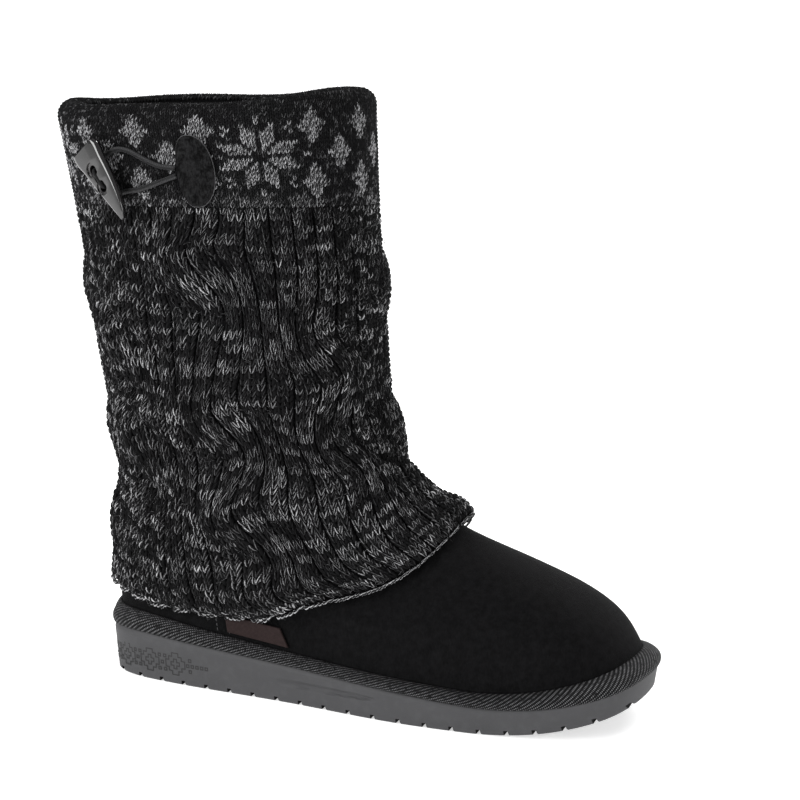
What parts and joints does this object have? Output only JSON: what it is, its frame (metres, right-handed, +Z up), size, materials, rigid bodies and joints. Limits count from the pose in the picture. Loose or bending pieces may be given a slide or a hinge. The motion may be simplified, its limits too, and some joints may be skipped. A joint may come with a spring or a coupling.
{
  "type": "winter boot",
  "caption": "Right winter boot: suede upper on a grey wedge sole, cable-knit sleeve hooked over the collar, horn toggle with an elastic loop on its outer side.",
  "frame": {"origin": "on the ground under the sole, halfway along the sole's length and in the middle of its width there", "axes": "+X towards the toe, +Y towards the inner side of the foot, +Z up"},
  "size_m": [0.2912, 0.1261, 0.2822],
  "materials": {
    "outsole": "matte grey moulded",
    "rand": "black woven tape with grey flecks",
    "upper": "black suede",
    "insole": "dark grey fleece",
    "knit_sleeve": "black and grey marled knit",
    "toggle": "polished black",
    "toggle_thread": "matte black thread",
    "elastic_loop": "dark braided elastic",
    "patch": "dark suede",
    "side_tab": "dark brown woven tape"
  },
  "bodies": {
    "root": {"outsole": "outsole", "rand": "rand", "upper": "upper", "insole": "insole", "knit_sleeve": "knit_sleeve", "toggle": "toggle", "toggle_thread": "toggle_thread", "elastic_loop": "elastic_loop", "patch": "patch", "side_tab": "side_tab"}
  },
  "joints": []
}
